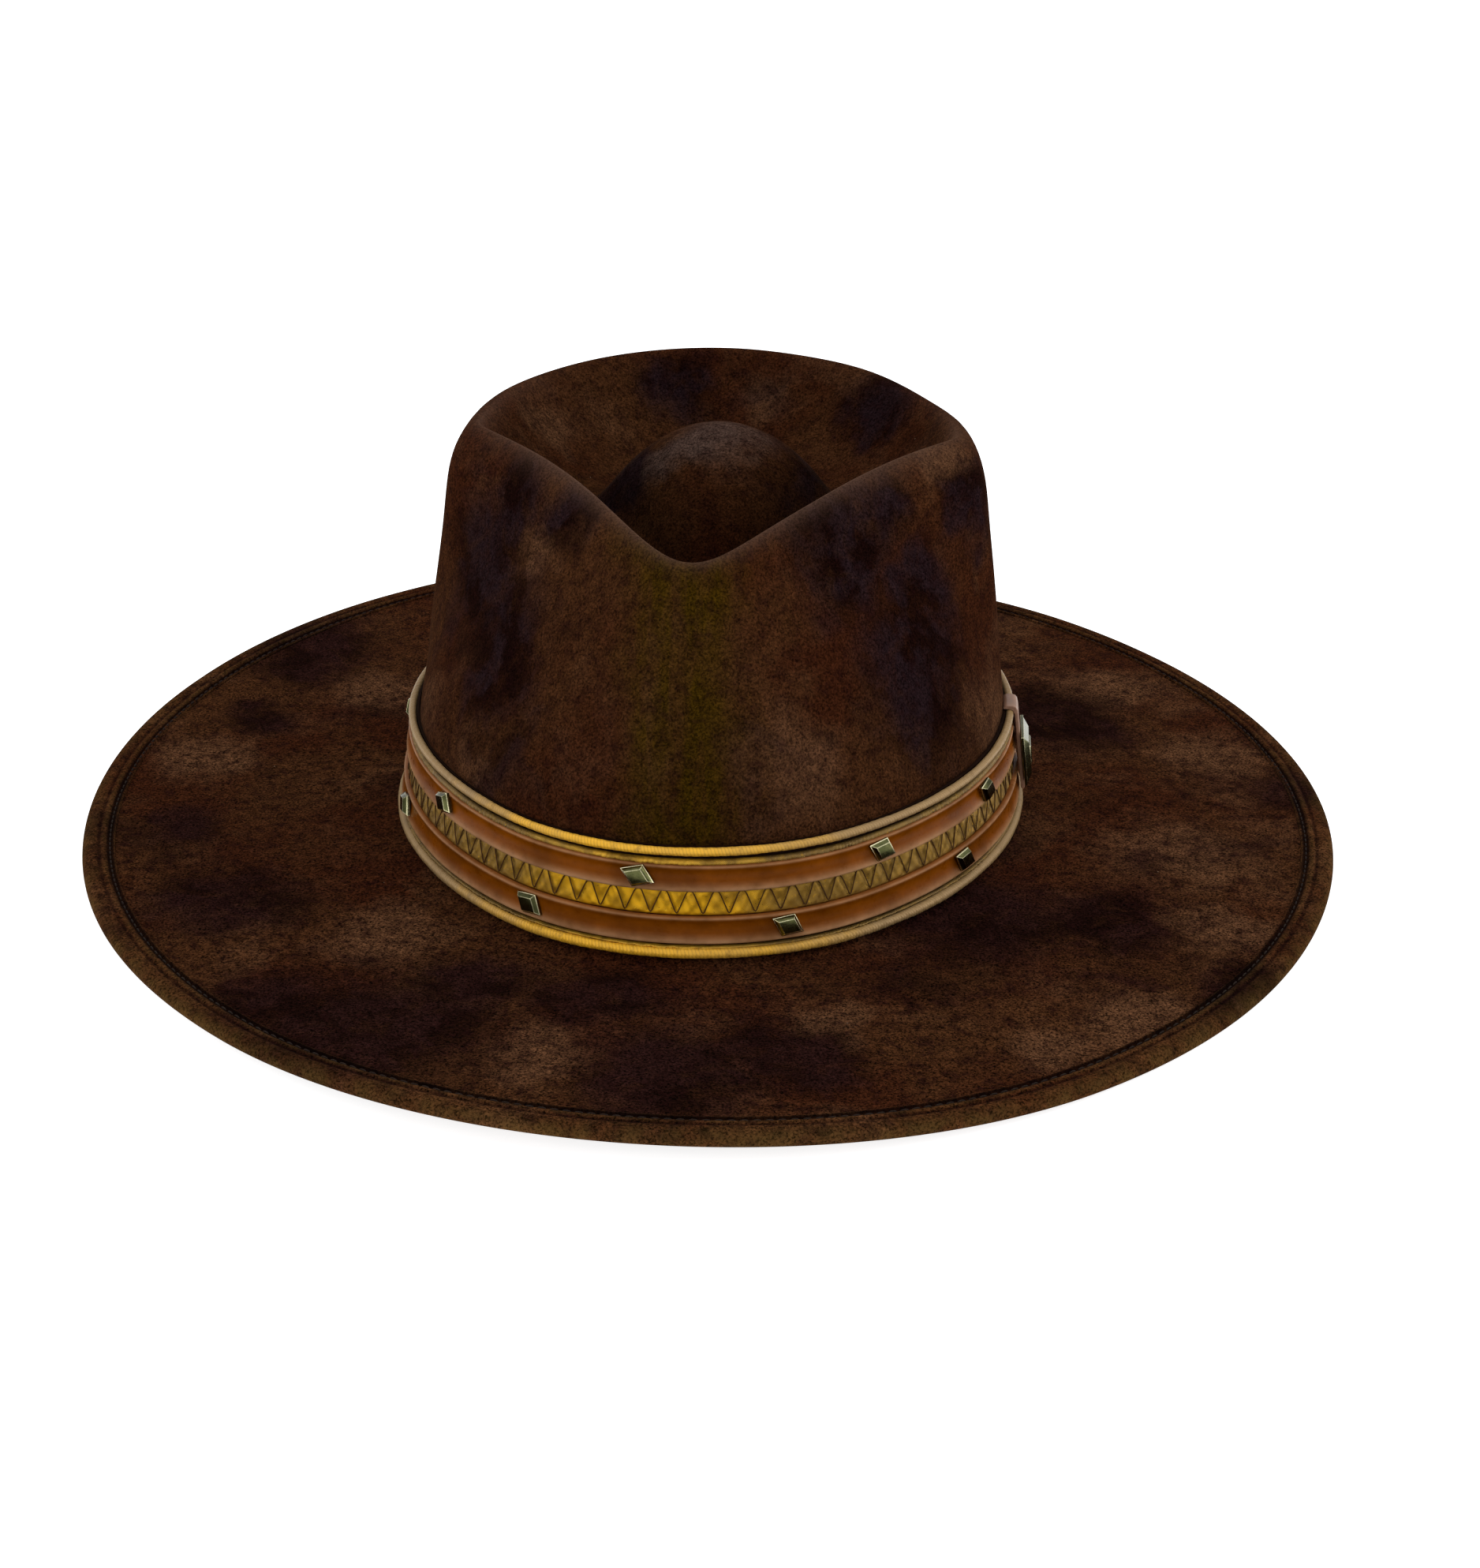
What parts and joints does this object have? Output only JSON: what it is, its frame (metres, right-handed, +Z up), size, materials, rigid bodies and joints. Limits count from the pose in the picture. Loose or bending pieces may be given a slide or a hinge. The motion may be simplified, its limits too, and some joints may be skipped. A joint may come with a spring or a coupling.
{
  "type": "wide brim hat",
  "caption": "Wide flat-brimmed felt hat with a teardrop creased crown and a band of two studded leather straps, gold braid and piping.",
  "frame": {"origin": "centre of the bounding box on the plane the brim rests on", "axes": "+Z up out of the crown, -Y towards the hat's front tip, +X towards the wearer's left side, where the concho is"},
  "size_m": [0.3498, 0.391, 0.1125],
  "materials": {
    "crown_felt": "brushed, mottled dark brown",
    "brim_felt_top": "brushed, mottled dark brown",
    "brim_felt_under": "brushed, mottled dark brown",
    "welt_felt": "brushed, dark brown",
    "stiffener": "stiffened weave",
    "edge_wire": "satin",
    "dark_thread": "twisted thread",
    "pale_thread": "twisted thread",
    "brown_thread": "twisted thread",
    "lining_satin": "satin",
    "bow_satin": "satin",
    "reed_tape": "woven tape",
    "sweatband_leather": "smooth",
    "backing_leather": "smooth",
    "gold_cord": "satin",
    "gold_braid": "metallic",
    "strap_leather": "polished",
    "keeper_leather": "polished",
    "antique_brass": "antique"
  },
  "bodies": {
    "root": {"crown": "crown_felt", "crown_lining": "lining_satin", "brim_upper": "brim_felt_top", "brim_core": "stiffener", "brim_lower": "brim_felt_under", "edge_wire": "edge_wire", "edge_welt": "welt_felt", "welt_stitching": "dark_thread", "sweatband": "sweatband_leather", "sweatband_reed": "reed_tape", "sweatband_stitching": "pale_thread", "sweatband_bow": "bow_satin", "band_backing": "backing_leather", "lower_piping": "gold_cord", "upper_piping": "gold_cord", "lower_braid": "gold_braid", "upper_braid": "gold_braid", "lower_strap": "strap_leather", "upper_strap": "strap_leather", "centre_braid": "gold_braid", "zigzag_thread": "brown_thread", "lower_studs": "antique_brass", "upper_studs": "antique_brass", "keeper": "keeper_leather", "concho": "antique_brass"}
  },
  "joints": []
}
